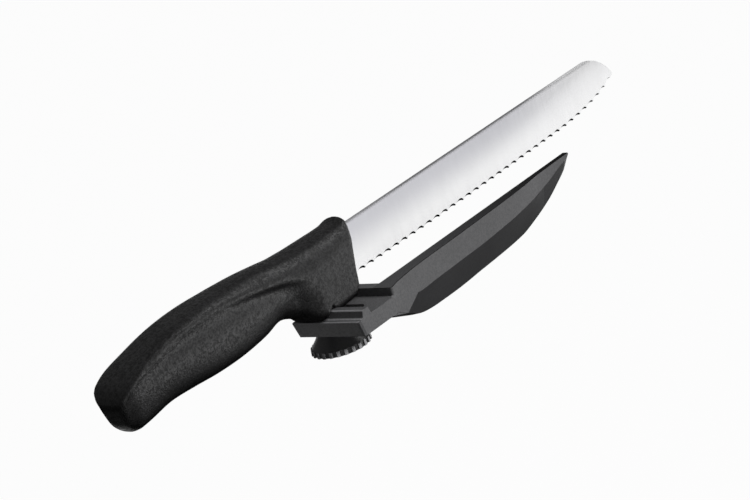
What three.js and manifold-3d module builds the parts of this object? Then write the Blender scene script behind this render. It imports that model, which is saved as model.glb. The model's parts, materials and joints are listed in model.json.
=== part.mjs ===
// Slicing knife with an adjustable slice guide. A wavy-edge blade is moulded into a handle whose guard stands on the
// guide's bracket. The bracket slides sideways under the guard and a thumb knob clamps it from below, so the guide
// plate keeps a set distance from the blade.
// Millimetres. X runs from the handle to the tip, Y to the knife's left and Z from the edge to the spine.
// The pieces are drawn from the point where the spine leaves the guard, in the blade's middle plane, and the whole
// knife is then moved so that the origin lies on the blade's flat left face, where a rack holds it.

import * as THREE from "three";
import { mergeVertices } from "three/addons/utils/BufferGeometryUtils.js";
import Module from "manifold-3d";

// Blade
const bladeLength = 210;
const bladeHeight = 22.7;
const bladeThick = 2;
const edgeThick = 0.6;
const grindDrop = 1.4;
const grindStart = 2.6;
const leftGrind = 0.1;
const heelRise = 0.6;
const sweepLength = 50;
const noseLength = 20;
const noseDrop = 13;
const sweepOut = { along: 0.44, up: 0.04 };
const sweepIn = { along: 0.14, up: 0.4 };
const noseOut = 0.55;
const noseIn = { along: 0.05, down: 0.69 };
const wavePitch = 6;
const waveDepth = 0.9;
const waveInset = 1.1;
const waveSteps = 5;
const heelDepth = 9;
const tangLength = 96;
const tangHeight = 12;
const tangDrop = 2.5;
const tangHole = 6;
const tangHoleNear = 26;
const tangHoleFar = 70;

// Handle
const handleLength = 145.6;
const gripWidth = 20.6;
const gripRise = 8.1;
const gripDrop = 22.4;
const guardWidth = 21;
const guardRise = 6.8;
const guardLean = 0.235;
const buttLean = -0.2;
const leanLevel = 4;
const frontRound = 2.6;
const buttRound = 6;
const soleRise = 2.6;
const shoulderOut = 0.7;
const shoulderDown = 0.2;
const thumbGroove = 0.6;
const grooveDown = 0.33;
const grooveFade = 22;
const footSpare = 1;
const reliefWide = 2.9;
const reliefRise = 1.9;
const frontTurns = [0.15, 0.4, 0.7];
const buttTurns = [0.25, 0.5, 0.72, 0.9];
const handleSteps = 52;
const ringPoints = 60;

// Guide bracket, set out from the knob's axis
const knobBack = 17.3;
const channelAhead = 10.3;
const channelBehind = 5.5;
const wallThick = 4.6;
const wallRise = 3.7;
const edgeClear = 1.05;
const railRise = 3;
const railCrest = 3.4;
const railFrontSlope = 1;
const railBackSlope = 1.3;
const ledgeDepth = 2.8;
const baseThick = 7.2;
const rearBevel = 1.4;
const bracketWidth = 35.9;
const leftBevel = 0.9;
const rootFair = 4;

// Guide plate
const sliceShown = 15.4;
const plateReach = 141.2;
const plateDepth = 22.8;
const plateThick = 6.3;
const plateRoot = 10.1;
const plateEdge = 1.2;
const edgeSlope = 0.25;
const plateSteps = 44;

// Travel of the guide from the place that is drawn
const thinTravel = 15;
const wideTravel = 2;

// Clamp
const studDia = 5;
const studOver = 0.5;
const studRelief = 1;
const knobCap = 2.4;
const insertDia = 8;
const insertLength = 9;
const washerDia = 14;
const washerThick = 1;
const knobDia = 25.8;
const knobNeck = 15.8;
const knobHeight = 8.5;
const rimHeight = 2.7;
const knurlCount = 24;
const knurlDepth = 0.7;
const knurlSteps = 4;
const swellHold = { out: 0.3, up: 0.55 };
const swellSteps = 5;
const bellSides = 48;
const barSides = 32;

// Clearances
const fit = 0.3;
const slotFit = 0.4;
const seatGap = 0.3;

// Rack mount on the left face
const mountAhead = 50;
const mountDown = 11;

// Derived places
const knobX = -knobBack;
const wallTop = -bladeHeight - edgeClear;
const floorTop = wallTop - wallRise;
const railTop = floorTop + railRise;
const ledgeTop = floorTop - fit;
const baseBottom = floorTop - baseThick;
const wallBack = knobX + channelAhead;
const wallFront = wallBack + wallThick;
const railFront = knobX - channelBehind;
const railBack = railFront - railFrontSlope - railCrest - railBackSlope;
const bracketRear = railBack - ledgeDepth;
const plateLeft = -(bladeThick / 2 + sliceShown);
const bracketRight = plateLeft - plateRoot;
const bracketLeft = bracketRight + bracketWidth;
const footBottom = floorTop + seatGap;
const guardDepth = -bracketRear;
const washerTop = baseBottom - seatGap;
const knobTop = washerTop - washerThick - seatGap;
const knobBottom = knobTop - knobHeight;
const studTop = footBottom + insertLength + studOver;

const wasm = await Module();
wasm.setup();

function solid(geometry) {
  const bare = new THREE.BufferGeometry();
  bare.setAttribute("position", geometry.getAttribute("position"));
  if (geometry.index) bare.setIndex(geometry.index);
  const joined = mergeVertices(bare, 1e-4);
  return new wasm.Manifold(
    new wasm.Mesh({
      numProp: 3,
      vertProperties: new Float32Array(joined.getAttribute("position").array),
      triVerts: new Uint32Array(joined.index.array),
    }),
  );
}

function surface(body) {
  const mesh = body.getMesh();
  const geometry = new THREE.BufferGeometry();
  geometry.setAttribute("position", new THREE.BufferAttribute(mesh.vertProperties, 3));
  geometry.setIndex(new THREE.BufferAttribute(mesh.triVerts, 1));
  geometry.computeVertexNormals();
  return geometry;
}

// A shape drawn in X and Z, extruded along Y from one side to the other.
function acrossY(shape, from, to) {
  const geometry = new THREE.ExtrudeGeometry(shape, { depth: to - from, bevelEnabled: false });
  geometry.rotateX(Math.PI / 2);
  geometry.translate(0, to, 0);
  return geometry;
}

// A shape drawn in Y and Z, extruded along X.
function alongX(shape, from, to) {
  const geometry = new THREE.ExtrudeGeometry(shape, { depth: to - from, bevelEnabled: false });
  geometry.applyMatrix4(new THREE.Matrix4().set(0, 0, 1, from, 1, 0, 0, 0, 0, 1, 0, 0, 0, 0, 0, 1));
  return geometry;
}

// A shape drawn in X and Y, extruded upwards.
function upZ(shape, from, to) {
  const geometry = new THREE.ExtrudeGeometry(shape, { depth: to - from, bevelEnabled: false });
  geometry.translate(0, 0, from);
  return geometry;
}

function box(x0, x1, y0, y1, z0, z1) {
  const geometry = new THREE.BoxGeometry(x1 - x0, y1 - y0, z1 - z0);
  geometry.translate((x0 + x1) / 2, (y0 + y1) / 2, (z0 + z1) / 2);
  return geometry;
}

// An upright round bar on the knob's axis.
function bar(radius, from, to) {
  const geometry = new THREE.CylinderGeometry(radius, radius, to - from, barSides);
  geometry.rotateX(Math.PI / 2);
  geometry.translate(knobX, 0, (from + to) / 2);
  return geometry;
}

function polygon(points) {
  return new THREE.Shape(points.map(([a, b]) => new THREE.Vector2(a, b)));
}

// A closed skin over rings of equal count, with a fan on each end.
function loft(rings) {
  const count = rings[0].length;
  const positions = [];
  const index = [];
  rings.forEach((ring) => ring.forEach((p) => positions.push(p.x, p.y, p.z)));
  for (let r = 0; r + 1 < rings.length; r += 1) {
    for (let i = 0; i < count; i += 1) {
      const j = (i + 1) % count;
      const a = r * count;
      const b = a + count;
      index.push(a + i, b + i, b + j);
      index.push(a + i, b + j, a + j);
    }
  }
  [rings[0], rings[rings.length - 1]].forEach((ring, end) => {
    const middle = new THREE.Vector3();
    ring.forEach((p) => middle.addScaledVector(p, 1 / count));
    const centre = positions.length / 3;
    positions.push(middle.x, middle.y, middle.z);
    const start = end === 0 ? 0 : (rings.length - 1) * count;
    for (let i = 0; i < count; i += 1) {
      const j = (i + 1) % count;
      if (end === 0) index.push(centre, start + i, start + j);
      else index.push(centre, start + j, start + i);
    }
  });
  const geometry = new THREE.BufferGeometry();
  geometry.setAttribute("position", new THREE.Float32BufferAttribute(positions, 3));
  geometry.setIndex(index);
  return geometry;
}

// Blade: one sheet with the tang, ground flat on the left and to a taper on the right, with waves along the edge.
// The grinding starts just ahead of the guard, so the tang keeps the sheet's full thickness.
function edgePath() {
  const heel = -(bladeHeight - heelRise);
  const sweepX = bladeLength - sweepLength;
  const sweepHeight = bladeHeight - noseDrop;
  const path = new THREE.CurvePath();
  path.add(
    new THREE.QuadraticBezierCurve(
      new THREE.Vector2(-waveInset, heel),
      new THREE.Vector2((sweepX - waveInset) / 2, heel - 2 * heelRise),
      new THREE.Vector2(sweepX, heel),
    ),
  );
  path.add(
    new THREE.CubicBezierCurve(
      new THREE.Vector2(sweepX, heel),
      new THREE.Vector2(sweepX + sweepOut.along * sweepLength, heel + sweepOut.up * sweepHeight),
      new THREE.Vector2(bladeLength - sweepIn.along * sweepLength, heel + sweepIn.up * sweepHeight),
      new THREE.Vector2(bladeLength, -noseDrop),
    ),
  );
  return path;
}

function bladeOutline() {
  const path = edgePath();
  const length = path.getLength();
  const waves = Math.floor(length / wavePitch);
  const edge = [];
  for (let i = 0; i <= waves * waveSteps; i += 1) {
    const share = (i % waveSteps) / waveSteps;
    const at = Math.min((i * wavePitch) / waveSteps / length, 1);
    const p = path.getPoint(at);
    const along = path.getTangent(at);
    const depth = 4 * waveDepth * share * (1 - share);
    edge.push(new THREE.Vector2(p.x - along.y * depth, p.y + along.x * depth));
  }
  const shape = new THREE.Shape();
  shape.moveTo(-heelDepth, 0);
  shape.lineTo(bladeLength - noseLength, 0);
  shape.bezierCurveTo(
    bladeLength - noseOut * noseLength,
    0,
    bladeLength - noseIn.along * noseLength,
    -noseIn.down * noseDrop,
    bladeLength,
    -noseDrop,
  );
  edge.reverse().forEach((p) => shape.lineTo(p.x, p.y));
  shape.lineTo(-heelDepth, -(bladeHeight - heelRise));
  shape.lineTo(-heelDepth, -tangDrop - tangHeight);
  shape.lineTo(-heelDepth - tangLength, -tangDrop - tangHeight);
  shape.lineTo(-heelDepth - tangLength, -tangDrop);
  shape.lineTo(-heelDepth, -tangDrop);
  shape.closePath();
  return shape;
}

function tangHoles(radius) {
  return [tangHoleNear, tangHoleFar].map((back) => {
    const hole = new THREE.Shape();
    hole.absarc(-heelDepth - back, -tangDrop - tangHeight / 2, radius, 0, 2 * Math.PI);
    return hole;
  });
}

function makeBlade() {
  const half = bladeThick / 2;
  const outline = bladeOutline();
  tangHoles(tangHole / 2).forEach((hole) => outline.holes.push(hole));
  const sheet = solid(acrossY(outline, -half, half + leftGrind));
  const ahead = bladeLength + bladeThick;
  const deep = 2 * bladeHeight;
  const slope = (bladeThick - edgeThick) / (bladeHeight - grindDrop);
  const right = polygon([
    [-half, -grindDrop],
    [-half - bladeThick, -grindDrop],
    [-half - bladeThick, -deep],
    [-half + slope * (deep - grindDrop), -deep],
  ]);
  const left = box(grindStart, ahead, half, half + bladeThick, -deep, bladeHeight);
  return sheet.subtract(solid(alongX(right, grindStart, ahead))).subtract(solid(left));
}

// The room that the blade's hidden end takes in the handle, with the plugs that fill the tang's holes left out.
function bladePocket() {
  const right = -bladeThick / 2 - fit;
  const left = bladeThick / 2 + leftGrind + fit;
  const back = -heelDepth - tangLength - fit;
  const heel = box(-heelDepth - fit, 2 * frontRound, right, left, -bladeHeight - fit, fit);
  const tang = box(back, -heelDepth, right, left, -tangDrop - tangHeight - fit, -tangDrop + fit);
  const plugs = tangHoles(tangHole / 2 - fit);
  return plugs.reduce(
    (room, plug) => room.subtract(solid(acrossY(plug, right - fit, left + fit))),
    solid(heel).add(solid(tang)),
  );
}

// Handle sections from the guard to the butt: place, back, ridge half-width and height, flank half-width and height,
// sole half-width and sole. Places are shares of the guard's depth and then of the grip's length, half-widths are
// shares of the guard's and then of the grip's, and heights run from 0 at the grip's lowest level to 1 at its highest.
// The guard's back is a share of its rise, and its sole lies below its foot, which the bracket's room cuts flat.
const guardRows = [
  [0, 0.93, 0.82, 0.63, 0.83, 0.24, 0.79],
  [0.1, 0.64, 0.84, 0.615, 0.85, 0.235, 0.81],
  [0.25, 0.57, 0.87, 0.6, 0.88, 0.23, 0.84],
  [0.5, 0.57, 0.93, 0.58, 0.94, 0.224, 0.9],
  [0.8, 0.585, 0.98, 0.57, 1.01, 0.21, 0.96],
  [0.96, 0.605, 0.99, 0.565, 1.02, 0.208, 0.97],
];
const gripRows = [
  [0.01, 0.877, 1, 0.55, 0.93, 0.17, 0.84, -0.17],
  [0.035, 0.882, 1, 0.55, 0.78, 0.21, 0.6, -0.08],
  [0.07, 0.889, 0.975, 0.575, 0.66, 0.29, 0.46, 0],
  [0.14, 0.922, 0.945, 0.64, 0.64, 0.338, 0.42, 0.094],
  [0.25, 0.963, 0.94, 0.732, 0.77, 0.37, 0.5, 0.038],
  [0.39, 0.987, 0.96, 0.812, 0.87, 0.419, 0.58, 0.004],
  [0.53, 0.998, 0.99, 0.844, 0.91, 0.435, 0.61, 0.01],
  [0.66, 0.963, 1, 0.838, 0.92, 0.451, 0.61, 0.045],
  [0.78, 0.878, 1, 0.789, 0.92, 0.435, 0.61, 0.062],
  [0.9, 0.745, 0.98, 0.708, 0.91, 0.403, 0.63, 0.013],
  [1, 0.56, 0.9, 0.54, 0.86, 0.338, 0.64, -0.013],
];

function handleStations() {
  const height = (share) => share * (gripRise + gripDrop) - gripDrop;
  const grip = handleLength - guardDepth;
  const guard = guardRows.map(([place, back, ridge, ridgeHigh, flank, flankHigh, sole]) => [
    place * guardDepth,
    back * guardRise,
    (ridge * guardWidth) / 2,
    height(ridgeHigh),
    (flank * guardWidth) / 2,
    height(flankHigh),
    (sole * guardWidth) / 2,
    footBottom - footSpare,
  ]);
  const rest = gripRows.map(([place, back, ridge, ridgeHigh, flank, flankHigh, sole, soleHigh]) => [
    guardDepth + place * grip,
    height(back),
    (ridge * gripWidth) / 2,
    height(ridgeHigh),
    (flank * gripWidth) / 2,
    height(flankHigh),
    (sole * gripWidth) / 2,
    height(soleHigh),
  ]);
  return [...guard, ...rest];
}

// How much of the thumb groove, a shallow hollow under the ridge on each side, there is at a place on the grip.
function grooveShare(place) {
  const rise = THREE.MathUtils.smoothstep(place, guardDepth, guardDepth + grooveFade);
  const fall = THREE.MathUtils.smoothstep(place, handleLength - grooveFade, handleLength - buttRound);
  return rise * (1 - fall);
}

function handleRing(values, place, lean, shrink) {
  const [top, ridgeWide, ridgeHigh, flankWide, flankHigh, soleWide, sole] = values;
  const grooveWide = THREE.MathUtils.lerp(ridgeWide, flankWide, grooveDown);
  const side = [
    [shoulderOut * ridgeWide, top - shoulderDown * (top - ridgeHigh)],
    [ridgeWide, ridgeHigh],
    [grooveWide - thumbGroove * grooveShare(place), THREE.MathUtils.lerp(ridgeHigh, flankHigh, grooveDown)],
    [flankWide, flankHigh],
    [soleWide, sole + soleRise],
  ];
  const middle = (top + sole) / 2;
  const keys = [[0, top], ...side, [0, sole], ...side.map(([y, z]) => [-y, z]).reverse()];
  const narrow = 1 - shrink / ridgeWide;
  const low = 1 - shrink / ((top - sole) / 2);
  const curve = new THREE.CatmullRomCurve3(
    keys.map(([y, z]) => new THREE.Vector3(0, y * narrow, middle + (z - middle) * low)),
    true,
    "centripetal",
  );
  const ring = curve.getPoints(ringPoints).slice(0, ringPoints);
  ring.forEach((p) => {
    p.x = -place + lean * (p.z + leanLevel);
  });
  return ring;
}

function makeHandle() {
  const rows = handleStations();
  const places = rows.map((row) => row[0]);
  const columns = [1, 2, 3, 4, 5, 6, 7].map(
    (column) => new THREE.CubicInterpolant(places, rows.map((row) => row[column]), 1),
  );
  const leans = new THREE.LinearInterpolant(
    [0, guardDepth, handleLength],
    [guardLean, 0, buttLean],
    1,
  );
  const ringAt = (place, shrink) => {
    const values = columns.map((column) => column.evaluate(place)[0]);
    return handleRing(values, place, leans.evaluate(place)[0], shrink);
  };
  const rings = [];
  frontTurns.forEach((share) => {
    const turn = (share * Math.PI) / 2;
    rings.push(ringAt(frontRound * (1 - Math.sin(turn)), frontRound * (1 - Math.cos(turn))));
  });
  rings.reverse();
  for (let i = 0; i <= handleSteps; i += 1) {
    rings.push(ringAt(frontRound + ((handleLength - buttRound - frontRound) * i) / handleSteps, 0));
  }
  buttTurns.forEach((share) => {
    const turn = (share * Math.PI) / 2;
    const place = handleLength - buttRound * (1 - Math.sin(turn));
    rings.push(ringAt(place, buttRound * (1 - Math.cos(turn))));
  });
  const footHole = bar(insertDia / 2 + fit, baseBottom, footBottom + insertLength + fit);
  const studHole = bar(studDia / 2 + fit, footBottom, studTop + studRelief);
  return solid(loft(rings.reverse()))
    .subtract(solid(acrossY(bracketProfile(fit, true), -2 * guardWidth, 2 * guardWidth)))
    .subtract(bladePocket())
    .subtract(solid(footHole))
    .subtract(solid(studHole));
}

// The bracket's profile in X and Z, up to the front wall. Grown by a clearance and run past its ends and over the
// wall, with a relief over the rail's crest, it is the room that the guard leaves.
function bracketProfile(grow, room) {
  const front = room ? wallFront + guardDepth : wallBack;
  const rear = room ? bracketRear - guardDepth : bracketRear;
  const bottom = room ? baseBottom - guardDepth : baseBottom;
  const crestFront = railFront - railFrontSlope;
  const crestBack = crestFront - railCrest;
  const frontGrow = grow * Math.hypot(1, railFrontSlope / railRise);
  const backGrow = grow * Math.hypot(1, railBackSlope / (railTop - ledgeTop));
  const wall = [
    [front, wallTop + grow],
    [wallBack - grow, wallTop + grow],
    [wallBack - grow, floorTop + grow],
  ];
  const relief = [
    [crestBack - backGrow + reliefWide, railTop + grow],
    [crestBack - backGrow + reliefWide / 2, railTop + grow + reliefRise],
  ];
  return polygon([
    [front, bottom],
    ...(room ? wall : [[front, floorTop]]),
    [railFront + frontGrow, floorTop + grow],
    [crestFront + frontGrow, railTop + grow],
    ...(room ? relief : []),
    [crestBack - backGrow, railTop + grow],
    [railBack - backGrow, ledgeTop + grow],
    [rear, ledgeTop + grow],
    [room ? rear : rear + rearBevel, bottom],
  ]);
}

// Guide plate sections from the channel to the tip: place, thickness at the top, at the ridge and spare thickness at
// the lower edge, depth of the ridge and depth of the lower edge, all in shares of the plate's sizes. The flat root
// ends at the first, and a crease runs from its lower edge to the ridge at the second, where the lower facet starts.
const plateRows = [
  [0.042, 1.34, 1.46, 1.27, 0.26, 0.706],
  [0.119, 1.1, 1.18, 0.38, 0.44, 0.886],
  [0.143, 1.07, 1.11, 0.22, 0.462, 0.93],
  [0.167, 1.05, 1.08, 0.11, 0.465, 0.96],
  [0.215, 1.016, 1.04, 0.03, 0.46, 0.99],
  [0.276, 1, 1.03, 0, 0.455, 1],
  [0.36, 0.985, 1.025, 0, 0.45, 1],
  [0.455, 0.945, 1, 0, 0.447, 0.975],
  [0.55, 0.89, 0.97, 0, 0.425, 0.955],
  [0.64, 0.825, 0.905, 0, 0.4, 0.925],
  [0.7, 0.746, 0.84, 0, 0.373, 0.885],
  [0.743, 0.667, 0.778, 0, 0.346, 0.82],
  [0.79, 0.54, 0.68, 0, 0.307, 0.74],
  [0.832, 0.43, 0.587, 0, 0.263, 0.655],
  [0.87, 0.325, 0.46, 0, 0.215, 0.565],
  [0.9, 0.254, 0.365, 0, 0.171, 0.475],
  [0.93, 0.19, 0.27, 0, 0.13, 0.385],
  [0.955, 0.145, 0.2, 0, 0.1, 0.305],
  [0.98, 0.09, 0.11, 0, 0.06, 0.2],
  [1, 0.06, 0.065, 0, 0.03, 0.12],
];

function plateRing(x, top, ridge, edge, ridgeDeep, deep, edgeLift) {
  return [
    [plateLeft, wallTop],
    [plateLeft, wallTop - deep],
    [plateLeft - edge, wallTop - deep + edgeLift],
    [plateLeft - ridge, wallTop - ridgeDeep],
    [plateLeft - top, wallTop],
  ].map(([y, z]) => new THREE.Vector3(x, y, z));
}

function makePlate() {
  const places = plateRows.map((row) => row[0]);
  const columns = [1, 2, 3, 4, 5].map(
    (column) => new THREE.CubicInterpolant(places, plateRows.map((row) => row[column]), 1),
  );
  const [rootEnd, facetStart] = places;
  const stations = [rootEnd];
  for (let i = 0; i <= plateSteps; i += 1) {
    stations.push(facetStart + ((1 - facetStart) * i) / plateSteps);
  }
  const rings = [plateRing(wallBack, plateRoot, plateRoot, plateRoot, wallRise, wallTop - baseBottom, 0)];
  stations.forEach((place) => {
    const [top, ridge, spare, ridgeDeep, deep] = columns.map((column) => column.evaluate(place)[0]);
    const flare = Math.max(spare, 0) * plateThick;
    rings.push(
      plateRing(
        wallBack + place * (wallThick + plateReach),
        top * plateThick,
        ridge * plateThick,
        Math.min(plateEdge + flare, ridge * plateThick),
        ridgeDeep * plateDepth,
        deep * plateDepth,
        edgeSlope * flare,
      ),
    );
  });
  return solid(loft(rings));
}

// Below the floor the plate's root starts behind the wall and fairs into the bracket's right end.
function makeRoot() {
  const [place, , ridge, spare, , deep] = plateRows[0];
  const top = floorTop - fit;
  const ring = (x, right, rightBottom, leftBottom) =>
    [
      [plateLeft, top],
      [plateLeft, leftBottom],
      [right, rightBottom],
      [right, top],
    ].map(([y, z]) => new THREE.Vector3(x, y, z));
  const flare = spare * plateThick;
  const aheadX = wallBack + place * (wallThick + plateReach);
  const aheadRight = plateLeft - Math.min(plateEdge + flare, ridge * plateThick);
  const aheadBottom = wallTop - deep * plateDepth;
  return solid(
    loft([
      ring(wallBack - rootFair, bracketRight, baseBottom, baseBottom),
      ring(aheadX, aheadRight, aheadBottom + edgeSlope * flare, aheadBottom),
    ]),
  );
}

function makeSliceGuide() {
  const slot = new THREE.Shape();
  const slotRadius = studDia / 2 + slotFit;
  slot.absarc(knobX, wideTravel, slotRadius, 0, Math.PI);
  slot.absarc(knobX, -thinTravel, slotRadius, Math.PI, 2 * Math.PI);
  const bevel = polygon([
    [bracketLeft - leftBevel, baseBottom - fit],
    [bracketLeft + leftBevel, baseBottom - fit],
    [bracketLeft + leftBevel, ledgeTop],
    [bracketLeft, ledgeTop],
  ]);
  const wall = box(wallBack, wallFront, plateLeft - plateEdge, bracketLeft, baseBottom, wallTop);
  return solid(acrossY(bracketProfile(0, false), bracketRight, bracketLeft))
    .add(solid(wall))
    .add(makePlate())
    .add(makeRoot())
    .subtract(solid(upZ(slot, baseBottom - fit, floorTop + fit)))
    .subtract(solid(alongX(bevel, bracketRear - fit, wallFront + fit)));
}

function makeKnob() {
  const radius = knobDia / 2;
  const rim = new THREE.Shape();
  for (let i = 0; i < knurlCount * knurlSteps; i += 1) {
    const r = i % knurlSteps < knurlSteps / 2 ? radius : radius - knurlDepth;
    const turn = (2 * Math.PI * (i + 0.5)) / (knurlCount * knurlSteps);
    const x = knobX + r * Math.cos(turn);
    const y = r * Math.sin(turn);
    if (i === 0) rim.moveTo(x, y);
    else rim.lineTo(x, y);
  }
  rim.closePath();
  const rimTop = knobBottom + rimHeight;
  const rimEdge = radius - knurlDepth;
  const neck = knobNeck / 2;
  const swell = new THREE.QuadraticBezierCurve(
    new THREE.Vector2(rimEdge, rimTop),
    new THREE.Vector2(neck + swellHold.out * (rimEdge - neck), rimTop + swellHold.up * (knobTop - rimTop)),
    new THREE.Vector2(neck, knobTop),
  );
  const profile = [
    new THREE.Vector2(0, knobBottom + rimHeight / 2),
    new THREE.Vector2(rimEdge, knobBottom + rimHeight / 2),
    ...swell.getPoints(swellSteps),
    new THREE.Vector2(0, knobTop),
  ];
  const bell = new THREE.LatheGeometry(profile, bellSides);
  bell.rotateX(Math.PI / 2);
  bell.translate(knobX, 0, 0);
  return solid(upZ(rim, knobBottom, rimTop))
    .add(solid(bell))
    .subtract(solid(bar(studDia / 2 + fit, knobBottom + knobCap, knobTop + fit)));
}

function makeStud() {
  return solid(bar(studDia / 2, knobBottom + knobCap + fit, studTop));
}

function makeInsert() {
  return solid(bar(insertDia / 2, footBottom, footBottom + insertLength)).subtract(
    solid(bar(studDia / 2 + fit, footBottom - fit, footBottom + insertLength + fit)),
  );
}

function makeWasher() {
  return solid(bar(washerDia / 2, washerTop - washerThick, washerTop)).subtract(
    solid(bar(studDia / 2 + fit, washerTop - washerThick - fit, washerTop + fit)),
  );
}

const pieces = [
  ["blade", makeBlade, 0xd6d6da, 0.25, 1],
  ["handle", makeHandle, 0x262628, 0.62, 0],
  ["slice_guide", makeSliceGuide, 0x3c3c3f, 0.5, 0],
  ["thumb_knob", makeKnob, 0x2a2a2c, 0.45, 0],
  ["clamp_stud", makeStud, 0xb8b8bc, 0.35, 1],
  ["threaded_insert", makeInsert, 0xb89a55, 0.35, 1],
  ["clamp_washer", makeWasher, 0xb8b8bc, 0.35, 1],
];

const knife = new THREE.Group();
knife.position.set(-mountAhead, -bladeThick / 2, mountDown);
pieces.forEach(([name, make, color, roughness, metalness]) => {
  const material = new THREE.MeshStandardMaterial({ color, roughness, metalness });
  const mesh = new THREE.Mesh(surface(make()), material);
  mesh.name = name;
  knife.add(mesh);
});

const object = new THREE.Group();
object.add(knife);

export default object;
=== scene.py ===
"""Slicing knife with an adjustable slice guide: the visible pieces, their finishes and the studio."""
import json
import math

import bpy
from mathutils import Matrix, Vector


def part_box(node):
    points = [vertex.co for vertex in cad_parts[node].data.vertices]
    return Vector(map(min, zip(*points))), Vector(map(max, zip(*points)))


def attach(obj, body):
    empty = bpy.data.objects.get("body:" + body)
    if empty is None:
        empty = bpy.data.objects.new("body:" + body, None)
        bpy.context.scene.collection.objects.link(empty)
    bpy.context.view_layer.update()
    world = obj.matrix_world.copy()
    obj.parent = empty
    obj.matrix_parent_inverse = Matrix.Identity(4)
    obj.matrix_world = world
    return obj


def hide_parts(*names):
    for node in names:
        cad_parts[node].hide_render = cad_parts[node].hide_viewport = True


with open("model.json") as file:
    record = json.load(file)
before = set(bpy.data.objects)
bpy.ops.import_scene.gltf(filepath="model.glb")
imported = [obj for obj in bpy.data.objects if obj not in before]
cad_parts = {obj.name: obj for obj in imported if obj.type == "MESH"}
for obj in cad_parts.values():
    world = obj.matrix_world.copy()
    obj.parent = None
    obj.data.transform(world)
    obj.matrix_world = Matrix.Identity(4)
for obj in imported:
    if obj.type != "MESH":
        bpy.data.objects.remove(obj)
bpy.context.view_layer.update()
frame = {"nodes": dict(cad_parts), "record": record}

MM = 0.001
MERGE = 0.002 * MM
SEAM_MERGE = 0.001 * MM
SLIVER = 0.004 * MM

# Places in the frame that the pieces are fitted to

HANDLE_LOW, HANDLE_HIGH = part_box("handle")
BLADE_LOW, BLADE_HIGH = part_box("blade")
GUIDE_LOW, GUIDE_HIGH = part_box("slice_guide")
KNOB_LOW, KNOB_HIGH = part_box("thumb_knob")
STUD_LOW, STUD_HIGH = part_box("clamp_stud")
INSERT_LOW, INSERT_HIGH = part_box("threaded_insert")
WASHER_LOW, WASHER_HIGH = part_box("clamp_washer")
GUARD_X = HANDLE_HIGH.x - 2 * MM
PLATE_FACE_Y = next(m for m in frame["record"]["mounts"] if m["name"] == "guide_face")["pos_m"][1]
AXIS_X = (KNOB_LOW.x + KNOB_HIGH.x) / 2
AXIS_Y = (KNOB_LOW.y + KNOB_HIGH.y) / 2


# Hand tools

def only(piece):
    """Makes one object the only one that operators act on."""
    if bpy.context.object and bpy.context.object.mode != "OBJECT":
        bpy.ops.object.mode_set(mode="OBJECT")
    bpy.ops.object.select_all(action="DESELECT")
    piece.select_set(True)
    bpy.context.view_layer.objects.active = piece


def edit(piece, mode="VERT"):
    """Opens a piece for editing with all of it selected."""
    only(piece)
    bpy.ops.object.mode_set(mode="EDIT")
    bpy.ops.mesh.select_mode(type=mode)
    bpy.ops.mesh.select_all(action="SELECT")


def leave():
    bpy.ops.object.mode_set(mode="OBJECT")


def finish_with(piece, kind, **values):
    """Adds a modifier with these values and applies it."""
    only(piece)
    modifier = piece.modifiers.new(kind.lower(), kind)
    for name, value in values.items():
        setattr(modifier, name, value)
    bpy.ops.object.modifier_apply(modifier=modifier.name)


def copy_of(node, name):
    """A new piece with its own merged copy of a CAD node's mesh."""
    piece = bpy.data.objects.new(name, frame["nodes"][node].data.copy())
    bpy.context.scene.collection.objects.link(piece)
    piece.data.materials.clear()
    only(piece)
    bpy.ops.mesh.customdata_custom_splitnormals_clear()
    edit(piece)
    bpy.ops.mesh.remove_doubles(threshold=MERGE)
    leave()
    return piece


def join_flats(piece, angle):
    """Joins the triangles of each flat face."""
    edit(piece)
    bpy.ops.mesh.dissolve_limited(angle_limit=math.radians(angle))
    leave()


def ring(name, radius, height, sides, fill):
    """A circle on the clamp's axis, left in edit mode and selected, to be drawn up into a turned piece."""
    bpy.ops.object.select_all(action="DESELECT")
    bpy.ops.mesh.primitive_circle_add(vertices=sides, radius=radius, fill_type=fill)
    piece = bpy.context.object
    piece.name = name
    bpy.ops.transform.translate(value=(AXIS_X, AXIS_Y, height))
    bpy.ops.object.transform_apply(location=True, rotation=True, scale=True)
    edit(piece)
    return piece


def draw_up(rings):
    """Extrudes the selected ring through the others, each a radius and a height."""
    for (radius, height), (next_radius, next_height) in zip(rings, rings[1:]):
        bpy.ops.mesh.extrude_region_move(TRANSFORM_OT_translate={"value": (0, 0, next_height - height)})
        ratio = next_radius / radius
        bpy.ops.transform.resize(value=(ratio, ratio, 1), center_override=(AXIS_X, AXIS_Y, next_height))


def close_up():
    """Merges the seams of the turned piece and points its faces outwards."""
    bpy.ops.mesh.select_all(action="SELECT")
    bpy.ops.mesh.remove_doubles(threshold=SEAM_MERGE)
    bpy.ops.mesh.normals_make_consistent(inside=False)
    leave()


def turn(name, rings, sides):
    """A turned piece from its rings, closed by a disc at both ends."""
    piece = ring(name, *rings[0], sides, "NGON")
    draw_up(rings)
    close_up()
    return piece


def turn_tube(name, rings, sides):
    """A turned piece with a bore, whose rings run once round its wall."""
    piece = ring(name, *rings[0], sides, "NOTHING")
    draw_up([*rings, rings[0]])
    close_up()
    return piece


def pick_faces(piece, wanted):
    """Selects the faces that a test accepts, and leaves the piece in edit mode."""
    edit(piece, "FACE")
    bpy.ops.mesh.select_all(action="DESELECT")
    leave()
    for face in piece.data.polygons:
        face.select = wanted(face)
    bpy.ops.object.mode_set(mode="EDIT")


def pick_points(piece, wanted):
    """Selects the points that a test accepts, and leaves the piece in edit mode."""
    edit(piece)
    bpy.ops.mesh.select_all(action="DESELECT")
    leave()
    for vertex in piece.data.vertices:
        vertex.select = wanted(vertex)
    bpy.ops.object.mode_set(mode="EDIT")


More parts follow.
